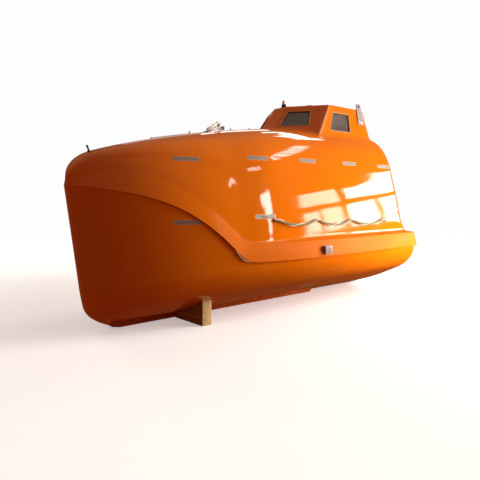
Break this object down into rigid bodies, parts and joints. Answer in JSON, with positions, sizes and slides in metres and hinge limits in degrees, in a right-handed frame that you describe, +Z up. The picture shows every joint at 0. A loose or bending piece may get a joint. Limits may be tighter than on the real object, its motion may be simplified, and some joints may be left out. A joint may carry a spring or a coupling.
{
  "type": "free-fall lifeboat on timber chocks",
  "caption": "Small totally enclosed lifeboat: glass-fibre hull and canopy, angular conning tower, roof hatch, stern door, steering nozzle round the propeller, standing on its keel and timber chocks.",
  "frame": {"origin": "on the floor, under the middle of the overall length, on the boat's centre line", "axes": "+X forward to the bow, +Y to port, +Z up"},
  "size_m": [4.936, 2.32, 2.673],
  "materials": {
    "orange_shell": "glossy orange gel coat, weathered",
    "stainless": "dull stainless steel",
    "window_glass": "dark clear panes",
    "bronze": "cast bronze",
    "painted_steel": "red-brown paint on steel",
    "rope": "weathered rope",
    "black_plastic": "matt black",
    "lamp_white": "white lens and body",
    "timber": "rough sawn timber",
    "grey_paint": "grey paint"
  },
  "bodies": {
    "boat": {"hull": "orange_shell", "keel_skid": "painted_steel", "canopy": "orange_shell", "conning_tower": "orange_shell", "window_diagonal_port": "window_glass", "window_diagonal_starboard": "window_glass", "window_side_port": "window_glass", "window_side_starboard": "window_glass", "window_aft": "window_glass", "roof_hatch_hinge": "stainless", "stern_door_hinge": "stainless", "stern_grab_rail": "stainless", "boarding_step": "stainless", "stern_tube": "painted_steel", "nozzle_bracket": "painted_steel", "nozzle_heel": "painted_steel", "release_hook_bracket": "stainless", "exhaust_outlet": "stainless", "lifting_lug_forward": "stainless", "lifting_plate_aft_port": "stainless", "lifting_plate_aft_starboard": "stainless", "bow_fitting": "stainless", "position_light": "lamp_white", "spray_pipe": "stainless", "grab_line_port": "rope", "grab_line_starboard": "rope", "lashing_bracket_port": "stainless", "lashing_bracket_starboard": "stainless", "engine": "grey_paint", "helm_seat": "black_plastic", "helm_console": "grey_paint", "chock_port": "timber", "chock_starboard": "timber"},
    "roof_hatch": {"roof_hatch": "orange_shell"},
    "stern_door": {"stern_door": "orange_shell", "stern_door_handle": "stainless"},
    "propeller": {"propeller": "bronze"},
    "steering_nozzle": {"steering_nozzle": "painted_steel"},
    "helm_wheel": {"helm_wheel": "black_plastic"},
    "release_hook": {"release_hook": "stainless"}
  },
  "joints": [
    {"name": "roof_hatch_hinge", "type": "hinge", "parent": "boat", "child": "roof_hatch", "pos_m": [-1.341, 0, 2.587], "axis": [0, -1, 0], "range_deg": [0, 95]},
    {"name": "stern_door_hinge", "type": "hinge", "parent": "boat", "child": "stern_door", "pos_m": [-1.9718, -0.305, 1.0229], "axis": [0.1322, 0, 0.9912], "range_deg": [0, 110]},
    {"name": "propeller_shaft", "type": "hinge", "parent": "boat", "child": "propeller", "pos_m": [-2.231, 0, 0.275], "axis": [1, 0, 0], "continuous": true},
    {"name": "nozzle_stock", "type": "hinge", "parent": "boat", "child": "steering_nozzle", "pos_m": [-2.261, 0, 0.275], "axis": [0, 0, 1], "range_deg": [-32, 32]},
    {"name": "wheel_shaft", "type": "hinge", "parent": "boat", "child": "helm_wheel", "pos_m": [-0.785, 0, 1.9], "axis": [-0.866, 0, 0.5], "range_deg": [-330, 330]},
    {"name": "hook_pivot", "type": "hinge", "parent": "boat", "child": "release_hook", "pos_m": [-2.108, 0, 0.61], "axis": [0, 1, 0], "range_deg": [0, 60]}
  ],
  "couplings": [
    {"joint": "wheel_shaft", "follows": "nozzle_stock", "ratio": 10}
  ]
}
